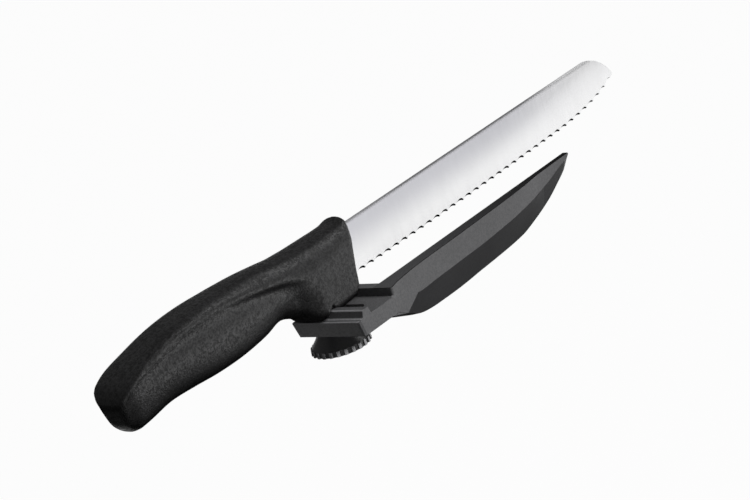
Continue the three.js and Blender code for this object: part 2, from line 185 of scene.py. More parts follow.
def pick_edges(piece, wanted):
    """Selects the edges that a test of their middle and their two faces' normals accepts, in edit mode."""
    edit(piece, "EDGE")
    bpy.ops.mesh.select_all(action="DESELECT")
    leave()
    mesh = piece.data
    sides = {}
    for face in mesh.polygons:
        for key in face.edge_keys:
            sides.setdefault(key, []).append(face.normal)
    for line in mesh.edges:
        normals = sides.get(line.key, [])
        ends = [mesh.vertices[i].co for i in line.vertices]
        middle = (ends[0] + ends[1]) / 2
        line.select = len(normals) == 2 and (wanted(middle, *normals) or wanted(middle, *reversed(normals)))
    bpy.ops.object.mode_set(mode="EDIT")


def ease(piece, width, segments, wanted, profile=0.5, material=-1):
    """Bevels the edges that a test accepts."""
    pick_edges(piece, wanted)
    bpy.ops.mesh.bevel(offset=width, segments=segments, profile=profile, affect="EDGES", material=material,
                       clamp_overlap=True)
    leave()


def clear_slivers(piece):
    """Merges points that bevels left on top of each other, so that no face without area stays."""
    edit(piece)
    bpy.ops.mesh.remove_doubles(threshold=SLIVER)
    leave()


def smooth_by(piece, angle):
    only(piece)
    bpy.ops.object.shade_smooth_by_angle(angle=math.radians(angle))


def on_axis(place):
    """How far a place lies from the clamp's axis, and its angle round it."""
    out = Vector((place.x - AXIS_X, place.y - AXIS_Y))
    return out.length, math.atan2(out.y, out.x)


def dress(piece, *materials):
    for material in materials:
        piece.data.materials.append(material)


def stands_for(piece, node, body):
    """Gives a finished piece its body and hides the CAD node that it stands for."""
    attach(piece, body)
    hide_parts(node)


# Finishes

NOISE_SPAN = (0.3, 0.7)
PIT_SPAN = (0.36, 0.64)
COARSE_SCALE = 0.45
FINE_SHARE = 0.65
STREAK_SCALE = 0.08
PLAIN_GLOSS = 0.5
BLADE_SHADE_RISE = (-7 * MM, 9 * MM)
BLADE_SHADE_REACH = (60 * MM, 150 * MM)
# Spans along the blade where the spine's painted shade deepens and where it gives way to painted light.
SPINE_SHADE_DEEPENS = (-50 * MM, 20 * MM)
SPINE_PAINTED_LIGHT_RISES = (85 * MM, 125 * MM)


def new_group(name, inputs, outputs):
    """An empty shader node group with named inputs and named value outputs."""
    group = bpy.data.node_groups.new(name, "ShaderNodeTree")
    for label, kind, value in inputs:
        socket = group.interface.new_socket(label, in_out="INPUT", socket_type=kind)
        if value is not None:
            socket.default_value = value
    for label in outputs:
        group.interface.new_socket(label, in_out="OUTPUT", socket_type="NodeSocketFloat")
    return group, group.nodes.new("NodeGroupInput"), group.nodes.new("NodeGroupOutput")


def put(tree, kind, **settings):
    """A node with these settings."""
    node = tree.nodes.new(kind)
    for name, value in settings.items():
        setattr(node, name, value)
    return node


def feed(tree, socket, value):
    """Feeds a socket with another socket's output or with a number."""
    if isinstance(value, (int, float)):
        socket.default_value = value
    else:
        tree.links.new(value, socket)


def math_node(tree, operation, first, second):
    node = put(tree, "ShaderNodeMath", operation=operation)
    feed(tree, node.inputs[0], first)
    feed(tree, node.inputs[1], second)
    return node.outputs[0]


def noise(tree, vector, scale, detail, roughness=0.5):
    """The value of a noise texture. The scale is a socket or a number per metre."""
    node = put(tree, "ShaderNodeTexNoise", noise_dimensions="3D")
    tree.links.new(vector, node.inputs["Vector"])
    feed(tree, node.inputs["Scale"], scale)
    feed(tree, node.inputs["Detail"], detail)
    feed(tree, node.inputs["Roughness"], roughness)
    return node.outputs["Fac"]


def spread(tree, value, low, high, to_low=0.0, to_high=1.0):
    """Maps a value smoothly from one range to another."""
    node = put(tree, "ShaderNodeMapRange", interpolation_type="SMOOTHSTEP")
    for label, number in (
        ("Value", value), ("From Min", low), ("From Max", high), ("To Min", to_low), ("To Max", to_high),
    ):
        feed(tree, node.inputs[label], number)
    return node.outputs["Result"]


def moulded_grain():
    """Spark-eroded mould grain: pits of a size, and a slow cloudiness of the surface."""
    group, start, end = new_group(
        "moulded_grain",
        (("Vector", "NodeSocketVector", None), ("Pits", "NodeSocketFloat", 1500.0),
         ("Clouds", "NodeSocketFloat", 40.0)),
        ("Height", "Pit", "Cloud"),
    )
    fine = noise(group, start.outputs["Vector"], start.outputs["Pits"], 2, 0.6)
    wider = math_node(group, "MULTIPLY", start.outputs["Pits"], COARSE_SCALE)
    coarse = noise(group, start.outputs["Vector"], wider, 1)
    height = math_node(group, "ADD", math_node(group, "MULTIPLY", fine, FINE_SHARE),
                       math_node(group, "MULTIPLY", coarse, 1 - FINE_SHARE))
    group.links.new(height, end.inputs["Height"])
    group.links.new(spread(group, height, *PIT_SPAN), end.inputs["Pit"])
    cloud = noise(group, start.outputs["Vector"], start.outputs["Clouds"], 3)
    group.links.new(spread(group, cloud, *NOISE_SPAN), end.inputs["Cloud"])
    return group


def brushed_lines():
    """Fine polishing lines along one direction of the vector, with broad soft streaks."""
    group, start, end = new_group(
        "brushed_lines",
        (("Vector", "NodeSocketVector", None), ("Lines", "NodeSocketFloat", 900.0)),
        ("Line", "Streak"),
    )
    group.links.new(noise(group, start.outputs["Vector"], start.outputs["Lines"], 2), end.inputs["Line"])
    broad = math_node(group, "MULTIPLY", start.outputs["Lines"], STREAK_SCALE)
    streak = noise(group, start.outputs["Vector"], broad, 2)
    group.links.new(spread(group, streak, *NOISE_SPAN), end.inputs["Streak"])
    return group


GRAIN = moulded_grain()
BRUSH = brushed_lines()


class Finish:
    """A material under construction: its tree, its shader and its object coordinates."""

    def __init__(self, name, metallic, specular):
        self.material = bpy.data.materials.new(name)
        self.material.use_nodes = True
        self.tree = self.material.node_tree
        self.shader = self.tree.nodes["Principled BSDF"]
        self.shader.inputs["Metallic"].default_value = metallic
        self.shader.inputs["Specular IOR Level"].default_value = specular
        self.place = put(self.tree, "ShaderNodeTexCoord").outputs["Object"]

    def mapped(self, scale):
        node = put(self.tree, "ShaderNodeMapping")
        node.inputs["Scale"].default_value = scale
        self.tree.links.new(self.place, node.inputs["Vector"])
        return node.outputs["Vector"]

    def group(self, group, vector, **values):
        node = put(self.tree, "ShaderNodeGroup", node_tree=group)
        self.tree.links.new(vector, node.inputs["Vector"])
        for label, value in values.items():
            node.inputs[label].default_value = value
        return node.outputs

    def colours(self, value, dark, light):
        """A colour between two, by a value from 0 to 1."""
        node = put(self.tree, "ShaderNodeValToRGB")
        for element, colour in zip(node.color_ramp.elements, (dark, light)):
            element.color = (*colour, 1)
        self.tree.links.new(value, node.inputs["Fac"])
        return node.outputs["Color"]

    def times(self, first, second):
        node = put(self.tree, "ShaderNodeMix", data_type="RGBA", blend_type="MULTIPLY")
        node.inputs[0].default_value = 1
        self.tree.links.new(first, node.inputs[6])
        self.tree.links.new(second, node.inputs[7])
        return node.outputs[2]

    def along(self, axis, low, high, to_low=0.0, to_high=1.0):
        """A value that changes along an axis of the knife."""
        node = put(self.tree, "ShaderNodeSeparateXYZ")
        self.tree.links.new(self.place, node.inputs[0])
        return spread(self.tree, node.outputs[axis], low, high, to_low, to_high)

    def set(self, label, value):
        self.tree.links.new(value, self.shader.inputs[label])

    def bump(self, height, depth):
        node = put(self.tree, "ShaderNodeBump")
        node.inputs["Distance"].default_value = depth
        self.tree.links.new(height, node.inputs["Height"])
        self.tree.links.new(node.outputs["Normal"], self.shader.inputs["Normal"])


def grey(value):
    """A plastic's grey, a touch colder than neutral."""
    return (value, value, 1.03 * value)


def grained_plastic(name, dark, light, pits, depth, specular, rough_low, rough_high):
    """Moulded plastic whose pits are darker and rougher than the grain's crests."""
    finish = Finish(name, 0, specular)
    grain = finish.group(GRAIN, finish.place, Pits=pits)
    speck = finish.colours(grain["Pit"], grey(dark), grey(light))
    cloud = finish.colours(grain["Cloud"], (0.86, 0.86, 0.86), (1, 1, 1))
    finish.set("Base Color", finish.times(speck, cloud))
    finish.set("Roughness", spread(finish.tree, grain["Pit"], 0, 1, rough_high, rough_low))
    finish.bump(grain["Height"], depth)
    return finish.material


def polished_blade():
    """Satin steel with painted shade: greyer towards the spine and lighter towards the edge and the tip."""
    finish = Finish("blade_steel", 1, PLAIN_GLOSS)
    brush = finish.group(BRUSH, finish.mapped((1, 1, 0.04)), Lines=1400)
    # Painted shade: the base colour greys towards the spine and fades out towards the edge and the tip.
    rise = finish.along("Z", *BLADE_SHADE_RISE)
    reach = finish.along("X", *BLADE_SHADE_REACH, 1, 0.12)
    shade = math_node(finish.tree, "MULTIPLY", rise, reach)
    steel = finish.colours(shade, (0.975, 0.975, 0.98), (0.65, 0.65, 0.685))
    streak = finish.colours(brush["Streak"], (0.98, 0.98, 0.98), (1, 1, 1))
    finish.set("Base Color", finish.times(steel, streak))
    finish.set("Roughness", spread(finish.tree, brush["Line"], *NOISE_SPAN, 0.28, 0.34))
    return finish.material


def spine_finish():
    """The spine's steel with painted shade: a darker grey along most of its length, turning to painted
    light near the tip.
    """
    finish = Finish("spine_steel", 1, PLAIN_GLOSS)
    brush = finish.group(BRUSH, finish.mapped((0.1, 1, 1)), Lines=1500)
    # Painted shade and light: the spine's grey lightens near the tip, and its metal share rises along the
    # blade, then falls there.
    tone = finish.colours(finish.along("X", *SPINE_PAINTED_LIGHT_RISES), (0.6, 0.6, 0.62), (0.9, 0.9, 0.91))
    streak = finish.colours(brush["Streak"], (0.94, 0.94, 0.94), (1, 1, 1))
    finish.set("Base Color", finish.times(tone, streak))
    painted_dark = finish.along("X", *SPINE_SHADE_DEEPENS, 0.5, 0.8)
    painted_light = finish.along("X", *SPINE_PAINTED_LIGHT_RISES, 0, 0.7)
    finish.set("Metallic", math_node(finish.tree, "SUBTRACT", painted_dark, painted_light))
    finish.set("Roughness", spread(finish.tree, brush["Streak"], 0, 1, 0.4, 0.45))
    return finish.material


def painted_shade_edge():
    """The ground underside of the waves, coloured near black as painted shade, with fine lines across them.
    """
    finish = Finish("edge_steel_painted_shade", 1, PLAIN_GLOSS)
    brush = finish.group(BRUSH, finish.mapped((1, 0.2, 0.2)), Lines=3000)
    finish.set("Base Color", finish.colours(brush["Line"], (0.08, 0.08, 0.083), (0.16, 0.16, 0.164)))
    finish.set("Roughness", spread(finish.tree, brush["Line"], *NOISE_SPAN, 0.3, 0.4))
    return finish.material


def shaded_strip():
    """The plate's matt top, with painted shade that darkens it towards its tip."""
    finish = Finish("strip_plastic", 0, 0.05)
    grain = finish.group(GRAIN, finish.place, Pits=2600)
    tone = finish.colours(finish.along("X", GUIDE_LOW.x, GUIDE_HIGH.x), grey(0.085), grey(0.01))
    pits = finish.colours(grain["Pit"], (0.85, 0.85, 0.85), (1, 1, 1))
    finish.set("Base Color", finish.times(tone, pits))
    finish.set("Roughness", spread(finish.tree, grain["Pit"], 0, 1, 0.75, 0.65))
    return finish.material


def painted_highlight_ribs():
    """The knob's ribs, light grey and glossy as a painted highlight that stands for the bright bars along
    them.
    """
    finish = Finish("rib_painted_highlight", 0.5, 1)
    grain = finish.group(GRAIN, finish.place, Pits=2600)
    finish.set("Base Color", finish.colours(grain["Pit"], grey(0.38), grey(0.46)))
    finish.set("Roughness", spread(finish.tree, grain["Pit"], 0, 1, 0.24, 0.18))
    return finish.material


def turned_metal(name, dark, light):
    """Turned metal with fine rings round the clamp's axis."""
    finish = Finish(name, 1, PLAIN_GLOSS)
    brush = finish.group(BRUSH, finish.mapped((0.3, 0.3, 1)), Lines=4000)
    finish.set("Base Color", finish.colours(brush["Streak"], dark, light))
    finish.set("Roughness", spread(finish.tree, brush["Line"], *NOISE_SPAN, 0.26, 0.42))
    return finish.material


blade_steel = polished_blade()
spine_steel = spine_finish()
edge_steel_painted_shade = painted_shade_edge()
handle_plastic = grained_plastic(
    "handle_plastic", dark=0.003, light=0.02, pits=1300, depth=0.2 * MM,
    specular=0.55, rough_low=0.34, rough_high=0.54)
guide_plastic = grained_plastic(
    "guide_plastic", dark=0.082, light=0.112, pits=2200, depth=0.014 * MM,
    specular=0.45, rough_low=0.42, rough_high=0.5)
lower_facet_painted_shade = grained_plastic(
    "lower_facet_painted_shade", dark=0.05, light=0.06, pits=2200, depth=0.006 * MM,
    specular=0.45, rough_low=0.32, rough_high=0.38)
edge_painted_highlight = grained_plastic(
    "edge_painted_highlight", dark=0.26, light=0.34, pits=2200, depth=0.006 * MM,
    specular=0.5, rough_low=0.35, rough_high=0.42)
tip_painted_shade = grained_plastic(
    "tip_painted_shade", dark=0.042, light=0.052, pits=2200, depth=0.006 * MM,
    specular=0.12, rough_low=0.45, rough_high=0.5)
strip_plastic = shaded_strip()
seam_painted_shade = grained_plastic(
    "seam_painted_shade", dark=0.006, light=0.009, pits=2600, depth=0.008 * MM,
    specular=0.1, rough_low=0.6, rough_high=0.7)
knob_plastic = grained_plastic(
    "knob_plastic", dark=0.08, light=0.095, pits=2600, depth=0.006 * MM,
    specular=0.4, rough_low=0.3, rough_high=0.38)
rib_painted_highlight = painted_highlight_ribs()
clamp_steel = turned_metal("clamp_steel", dark=(0.55, 0.55, 0.57), light=(0.66, 0.66, 0.68))
insert_brass = turned_metal("insert_brass", dark=(0.66, 0.5, 0.22), light=(0.76, 0.6, 0.3))


# Handle: the solid's skin remeshed, its hollows deepened and its edges eased as on a moulding.

VOXEL = 0.5 * MM
EASE_STEP = 0.5
SKIN_ROUNDS = 6
FOOT_ROUNDS = 3
FLANK_ROUNDS = 40
FLANK_FACING = 0.6
BUTT_LENGTH = 12 * MM
HOLLOW_DEPTH = 0.9 * MM
HOLLOW_REACH = 6.5 * MM
HOLLOW_LIP = 1.5 * MM
HOLLOW_FRONT = (-84 * MM, -100 * MM)
HOLLOW_REAR = (-182 * MM, -160 * MM)
RIDGE_FOOT = 13.4 * MM
RIDGE_FALL_FRONT = (-133 * MM, 0.187)
RIDGE_FALL_REAR = (-162 * MM, 0.13)
FOOT_MARGIN = 1.5 * MM
SLOT_MARGIN = 2 * MM
SLOT_DEPTH = 6 * MM


def ramp(value, start, end):
    """Rises smoothly from 0 at the start to 1 at the end."""
    share = min(max((value - start) / (end - start), 0), 1)
    return share * share * (3 - 2 * share)


def ridge_foot(x):
    """The height of the ridge's foot along the grip."""
    front = RIDGE_FALL_FRONT[1] * max(0, x - RIDGE_FALL_FRONT[0])
    rear = RIDGE_FALL_REAR[1] * max(0, RIDGE_FALL_REAR[0] - x)
    return RIDGE_FOOT - front - rear


def sink_hollow(piece):
    """Deepens the hollow below the ridge on both flanks of the grip."""
    for vertex in piece.data.vertices:
        place = vertex.co
        below = ridge_foot(place.x) - place.z
        share = 1 - below / HOLLOW_REACH if below > 0 else 1 + below / HOLLOW_LIP
        depth = HOLLOW_DEPTH * share * ramp(place.x, *HOLLOW_FRONT) * ramp(place.x, *HOLLOW_REAR)
        if depth > 0 and abs(vertex.normal.y) > FLANK_FACING:
            place.y -= math.copysign(depth, vertex.normal.y)


def make_handle():
    piece = copy_of("handle", "grip_handle")
    finish_with(piece, "REMESH", mode="VOXEL", voxel_size=VOXEL)
    sink_hollow(piece)
    skin = piece.vertex_groups.new(name="skin")
    foot = piece.vertex_groups.new(name="foot")
    flank = piece.vertex_groups.new(name="flank")
    for vertex in piece.data.vertices:
        place = vertex.co
        near_foot = place.z < GUIDE_HIGH.z + FOOT_MARGIN and place.x > GUIDE_LOW.x - MM
        beside = BLADE_LOW.y - SLOT_MARGIN < place.y < BLADE_HIGH.y + SLOT_MARGIN
        near_slot = place.x > GUARD_X - SLOT_DEPTH and beside
        on_skin = not (near_foot or near_slot)
        (skin if on_skin else foot).add([vertex.index], 1, "ADD")
        if on_skin and abs(vertex.normal.y) > FLANK_FACING and place.x > HANDLE_LOW.x + BUTT_LENGTH:
            flank.add([vertex.index], 1, "ADD")
    finish_with(piece, "SMOOTH", factor=EASE_STEP, iterations=SKIN_ROUNDS, vertex_group="skin")
    finish_with(piece, "SMOOTH", factor=EASE_STEP, iterations=FOOT_ROUNDS, vertex_group="foot")
    finish_with(piece, "SMOOTH", factor=EASE_STEP, iterations=FLANK_ROUNDS, vertex_group="flank")
    only(piece)
    bpy.ops.object.shade_smooth()
    dress(piece, handle_plastic)
    stands_for(piece, "handle", "knife")


make_handle()


# Blade: the flat faces joined, the waves ground hollow on the right side, the spine eased.

SPINE, EDGE = 1, 2
BLADE_FLAT = 0.4
SPINE_FACING = 0.4
FLANK_TURN = 0.9
GROUND_DROP = 0.2
GROUND_TURN = 0.3
SPINE_EASE = 0.15 * MM
SPINE_BAND = 4 * MM
CUSP_TURN = 0.3
WAVE_GRIND = [0.4 * MM, 0.6 * MM, 0.8 * MM, 0.95 * MM, 1.0 * MM]
WAVE_POINTS = 6
BLADE_CREASE = 25


def is_flank(normal):
    """Whether a face is the blade's right side."""
    return normal.y < -FLANK_TURN


def is_ground(normal):
    """Whether a face is part of the wavy edge's underside."""
    return normal.z < -GROUND_DROP and abs(normal.y) < GROUND_TURN


def is_spine_corner(at, a, b):
    """Whether an edge runs between one of the blade's sides and its spine."""
    on_top = at.x > GUARD_X and at.z > -SPINE_BAND
    return on_top and abs(a.y) > FLANK_TURN and abs(b.y) < GROUND_TURN


def steps_past_cusp(rim):
    """For points along the wavy edge, how many points each lies past the last cusp."""
    steps = {}
    count = 0
    for before, here, after in zip(rim, rim[1:], rim[2:]):
        into, out = here.co - before.co, after.co - here.co
        bend = math.atan2(out.z, out.x) - math.atan2(into.z, into.x)
        count = 0 if bend > CUSP_TURN else min(count + 1, len(WAVE_GRIND) - 1)
        steps[here.index] = count
    return steps


def grind_waves(piece):
    """Draws the right rim of each wave into the blade's flank, most just before the wave's end."""
    flank = max((f for f in piece.data.polygons if is_flank(f.normal)), key=lambda f: f.area).normal.copy()
    pick_edges(piece, lambda at, a, b: at.x > GUARD_X - SLOT_DEPTH and is_flank(a) and is_ground(b))
    leave()
    rim = sorted((v for v in piece.data.vertices if v.select), key=lambda v: v.co.x)
    steps = steps_past_cusp(rim)
    places = [v.co.copy() for v in rim]
    for i, vertex in enumerate(rim):
        if vertex.index in steps:
            along = places[min(i + WAVE_POINTS, len(rim) - 1)] - places[max(i - WAVE_POINTS, 0)]
            vertex.co += WAVE_GRIND[steps[vertex.index]] * flank.cross(along).normalized()


def make_blade():
    piece = copy_of("blade", "wavy_blade")
    dress(piece, blade_steel, spine_steel, edge_steel_painted_shade)
    join_flats(piece, BLADE_FLAT)
    # The spine takes its painted shade and light; the waves' undersides take a near black as painted shade.
    for face in piece.data.polygons:
        if face.center.x > GUARD_X - SLOT_DEPTH:
            if face.normal.z > SPINE_FACING and face.center.z > BLADE_HIGH.z - SPINE_BAND:
                face.material_index = SPINE
            elif is_ground(face.normal):
                face.material_index = EDGE
    grind_waves(piece)
    ease(piece, SPINE_EASE, 2, is_spine_corner, material=SPINE)
    clear_slivers(piece)
    smooth_by(piece, BLADE_CREASE)
    stands_for(piece, "blade", "knife")
    piece.visible_glossy = False


make_blade()


# Slice guide: the bracket and the plate, with the plate's blunt tip, the moulding's edge radii, a painted
# highlight along the rail's edge, painted shade on the plate's lower facet and tip, and a seam along the
# plate's top darkened as painted shade.

STRIP, SEAM, FACET, PAINTED_EDGE_HIGHLIGHT, TIP = 1, 2, 3, 4, 5
PLATE_FLAT = 0.3
REAR_FACING = 0.9
RIGHT_FACING = 0.85
RAIL_FACING = 0.9
STRIP_FACING = 0.95
WALL_END_ROUND = 1.4 * MM
FLANGE_CHAMFER = 1.4 * MM
FACET_TURN = 0.04
TIP_TURN = 0.02
TIP_START = GUIDE_HIGH.x - 27 * MM
FILL_START = GUIDE_HIGH.x - 28 * MM
TIP_FILL = 2.4 * MM
TIP_BACK = 1.9 * MM
EDGE_BAND = 0.3 * MM
SEAM_WIDE = 0.7 * MM
SEAM_PROFILE = 0.15
MOULD_EDGE = 0.3 * MM
MOULD_CREASE = 12
MOULD_CORNER = 46
HIGHLIGHT_EDGE_WIDE = 0.5 * MM
RAIL_SETBACK = 4 * MM
STRIP_LEVEL = GUIDE_HIGH.z - 0.05 * MM
FLANGE_X = GUIDE_LOW.x + 2 * MM


def is_rear(normal):
    return normal.x < -REAR_FACING


def is_right(normal):
    return normal.y < -RIGHT_FACING


def fill_out_tip(piece):
    """Keeps the plate's thickness up to its blunt tip, above its thin lower edge."""
    points = [v for v in piece.data.vertices if v.co.x > FILL_START]
    for vertex in points:
        beside = [v.co.z for v in points if abs(v.co.x - vertex.co.x) < EDGE_BAND]
        on_edge = vertex.co.z < min(beside) + EDGE_BAND
        if vertex.co.y < PLATE_FACE_Y - EDGE_BAND and not on_edge:
            vertex.co.y -= TIP_FILL * (vertex.co.x - FILL_START) / (GUIDE_HIGH.x - FILL_START)
    for vertex in points:
        if vertex.co.x > GUIDE_HIGH.x - EDGE_BAND:
            vertex.co.x -= TIP_BACK


def make_guide():
    piece = copy_of("slice_guide", "slice_guide_moulding")
    dress(piece, guide_plastic, strip_plastic, seam_painted_shade, lower_facet_painted_shade, edge_painted_highlight, tip_painted_shade)
    join_flats(piece, PLATE_FLAT)
    edit(piece)
    bpy.ops.mesh.bisect(plane_co=(0, PLATE_FACE_Y, 0), plane_no=(0, 1, 0))
    leave()
    fill_out_tip(piece)
    for face in piece.data.polygons:
        on_top = face.normal.z > STRIP_FACING and face.center.z > STRIP_LEVEL
        if on_top and face.center.y < PLATE_FACE_Y:
            face.material_index = STRIP
        # The plate's lower facet and its tip take darker greys than the guide as painted shade.
        elif is_right(face.normal) and face.center.x > GUARD_X:
            at_tip = face.center.x > TIP_START
            if face.normal.z < (TIP_TURN if at_tip else -FACET_TURN):
                face.material_index = TIP if at_tip else FACET
    ease(piece, WALL_END_ROUND, 4,
         lambda at, a, b: is_rear(a) and is_right(b) and at.x > AXIS_X)
    ease(piece, FLANGE_CHAMFER, 2,
         lambda at, a, b: is_rear(a) and is_right(b) and at.x < FLANGE_X)
    # The rail's rear top edge is bevelled and coloured light grey as a painted highlight.
    ease(piece, HIGHLIGHT_EDGE_WIDE, 2,
         lambda at, a, b: at.x < AXIS_X - RAIL_SETBACK and is_rear(a) and b.z > RAIL_FACING,
         material=PAINTED_EDGE_HIGHLIGHT)
    # The narrow groove along the plate's top edge is coloured near black as painted shade.
    ease(piece, SEAM_WIDE, 2,
         lambda at, a, b: at.z > STRIP_LEVEL and at.x > AXIS_X and a.z > STRIP_FACING and is_right(b),
         profile=SEAM_PROFILE, material=SEAM)
    clear_slivers(piece)
    pick_edges(piece, lambda at, a, b:
               is_right(a) and is_right(b) and b.z < TIP_TURN and a.z > b.z + FACET_TURN)
    bpy.ops.mesh.mark_sharp()
    leave()
    smooth_by(piece, MOULD_CREASE)
    finish_with(piece, "BEVEL", width=MOULD_EDGE, segments=3, limit_method="ANGLE",
                angle_limit=math.radians(MOULD_CORNER), harden_normals=True)
    stands_for(piece, "slice_guide", "guide")
    piece.visible_glossy = False


make_guide()


# Clamp: the ribbed knob, its threaded stud, the washer and the knurled insert.

RIB_PAINTED_HIGHLIGHT = 1
RIBS = 24
RIB_FACES = 12
RIB_CORNER = 0.5
RIB_SHARE = 0.5
RIB_DEPTH = 0.75 * MM
RIB_DRAFT = 0.25 * MM
RIB_ROUND = 0.6 * MM
RIM_HEIGHT = 2.7 * MM
RIM_EASE = 0.2 * MM
RIM_TOUCH = 0.98
RIM_LEAN = 0.1
NECK_RADIUS = 7.9 * MM
SWELL_OUT = 0.3
SWELL_UP = 0.55
SWELL_RINGS = 10
KNOB_FLOOR = 2.4 * MM
BORE_GAP = 0.3 * MM
DISH = 0.7 * MM
DISH_FLOOR = 0.55
DISH_MOUTH = 0.64
TURNED_EASE = 0.15 * MM
TURNED_SIDES = 64
TURNED_CREASE = 40
THREAD_CREASE = 30
THREAD_PITCH = 0.8 * MM
THREAD_DEPTH = 0.45 * MM
THREAD_STEPS = 24
THREAD_RUNOUT = 2
THREAD_ROOT = 0.1 * MM
THREAD_FOOT = 0.45
STUD_EASE = 0.3 * MM
KNURL_DEPTH = 0.3 * MM
KNURLS = 24
KNURL_FACES = 4
KNURL_SHARE = 0.5
KNURL_LEAN = 0.2
INSERT_EASE = 0.3 * MM
WAIST_DEPTH = 0.4 * MM
WAIST_HALF = 0.7 * MM
BAND_START = 1 * MM


def swell(share, start, hold, end):
    """A point of the bell's curve from its start to its end, drawn towards a hold point."""
    back = 1 - share
    return [back * back * a + 2 * back * share * b + share * share * c for a, b, c in zip(start, hold, end)]


def make_knob():
    outer = (KNOB_HIGH.x - KNOB_LOW.x) / 2
    rim = outer - RIB_DEPTH
    low, high = KNOB_LOW.z, KNOB_HIGH.z
    rim_top = low + RIM_HEIGHT
    bore = STUD_HIGH.x - AXIS_X + BORE_GAP
    hold = (NECK_RADIUS + SWELL_OUT * (rim - NECK_RADIUS), rim_top + SWELL_UP * (high - rim_top))
    bell = [
        swell(i / SWELL_RINGS, (rim, rim_top), hold, (NECK_RADIUS, high)) for i in range(SWELL_RINGS + 1)
    ]
    rings = [
        (DISH_FLOOR * rim, low + DISH),
        (DISH_MOUTH * rim, low),
        (rim - RIM_EASE, low),
        (rim, low + RIM_EASE),
        *bell,
        (bore, high),
        (bore, low + KNOB_FLOOR),
    ]
    piece = turn("ribbed_knob", rings, RIBS * RIB_FACES)
    pitch = 2 * math.pi / RIBS

    def on_rib(face):
        out, angle = on_axis(face.center)
        on_rim = out > RIM_TOUCH * rim and low + RIM_EASE < face.center.z < rim_top
        upright = abs(face.normal.z) < RIM_LEAN
        return on_rim and upright and (angle % pitch) / pitch < RIB_SHARE

    dress(piece, knob_plastic, rib_painted_highlight)
    # The ribs' faces take the light grey of the painted highlight.
    pick_faces(piece, on_rib)
    piece.active_material_index = RIB_PAINTED_HIGHLIGHT
    bpy.ops.object.material_slot_assign()
    bpy.ops.mesh.extrude_region_move(TRANSFORM_OT_translate={"value": (0, 0, 0)})
    grown = outer / rim
    bpy.ops.transform.resize(value=(grown, grown, 1), center_override=(AXIS_X, AXIS_Y, low))
    leave()
    crest = outer - RIB_DEPTH / 2
    pick_points(piece, lambda v: on_axis(v.co)[0] > crest and v.co.z > rim_top - RIM_EASE)
    drawn = (outer - RIB_DRAFT) / outer
    bpy.ops.transform.resize(value=(drawn, drawn, 1), center_override=(AXIS_X, AXIS_Y, rim_top))
    leave()
    ease(piece, RIB_ROUND, 4,
         lambda at, a, b: on_axis(at)[0] > crest and at.z > low + 2 * RIM_EASE and a.dot(b) < RIB_CORNER)
    clear_slivers(piece)
    smooth_by(piece, TURNED_CREASE)
    stands_for(piece, "thumb_knob", "knob")


def make_stud():
    """A turned core with a screwed ridge, joined into one."""
    radius = (STUD_HIGH.x - STUD_LOW.x) / 2
    core = radius - THREAD_DEPTH
    low, high = STUD_LOW.z, STUD_HIGH.z
    start = KNOB_HIGH.z
    turns = math.floor((high - start) / THREAD_PITCH) - THREAD_RUNOUT
    rings = [
        (radius - STUD_EASE, low), (radius, low + STUD_EASE), (radius, start),
        (core, start + STUD_EASE), (core, high - STUD_EASE), (core - STUD_EASE, high),
    ]
    piece = turn("threaded_stud", rings, 2 * THREAD_STEPS)
    ridge = thread_ridge(core, radius)
    finish_with(ridge, "SCREW", axis="Z", screw_offset=THREAD_PITCH, iterations=turns, steps=THREAD_STEPS,
                render_steps=THREAD_STEPS, use_merge_vertices=False)
    edit(ridge)
    bpy.ops.mesh.select_all(action="DESELECT")
    bpy.ops.mesh.select_non_manifold()
    bpy.ops.mesh.fill()
    bpy.ops.mesh.select_all(action="SELECT")
    bpy.ops.mesh.normals_make_consistent(inside=False)
    bpy.ops.transform.translate(value=(AXIS_X, AXIS_Y, start + THREAD_PITCH))
    leave()
    finish_with(piece, "BOOLEAN", operation="UNION", object=ridge, solver="MANIFOLD")
    bpy.data.objects.remove(ridge)
    clear_slivers(piece)
    smooth_by(piece, THREAD_CREASE)
    dress(piece, clamp_steel)
    stands_for(piece, "clamp_stud", "knob")


def thread_ridge(core, radius):
    """The ridge's section: a triangle, its root inside the core and its crest at the thread's radius."""
    bpy.ops.object.select_all(action="DESELECT")
    bpy.ops.mesh.primitive_circle_add(vertices=3, radius=THREAD_PITCH / 2, fill_type="NOTHING")
    ridge = bpy.context.object
    ridge.name = "thread_ridge"
    root = core - THREAD_ROOT
    foot = THREAD_FOOT * THREAD_PITCH
    for vertex, (out, up) in zip(ridge.data.vertices, ((root, -foot), (radius, 0), (root, foot))):
        vertex.co = (out, 0, up)
    return ridge


def make_washer():
    low, high = WASHER_LOW.z, WASHER_HIGH.z
    radius = (WASHER_HIGH.x - WASHER_LOW.x) / 2
    bore = STUD_HIGH.x - AXIS_X + BORE_GAP
    piece = turn_tube("clamp_washer_disc", [(bore, low), (radius, low), (radius, high), (bore, high)],
                      TURNED_SIDES)
    finish_with(piece, "BEVEL", width=TURNED_EASE, segments=2, limit_method="ANGLE",
                angle_limit=math.radians(TURNED_CREASE))
    smooth_by(piece, TURNED_CREASE)
    dress(piece, clamp_steel)
    stands_for(piece, "clamp_washer", "washer")


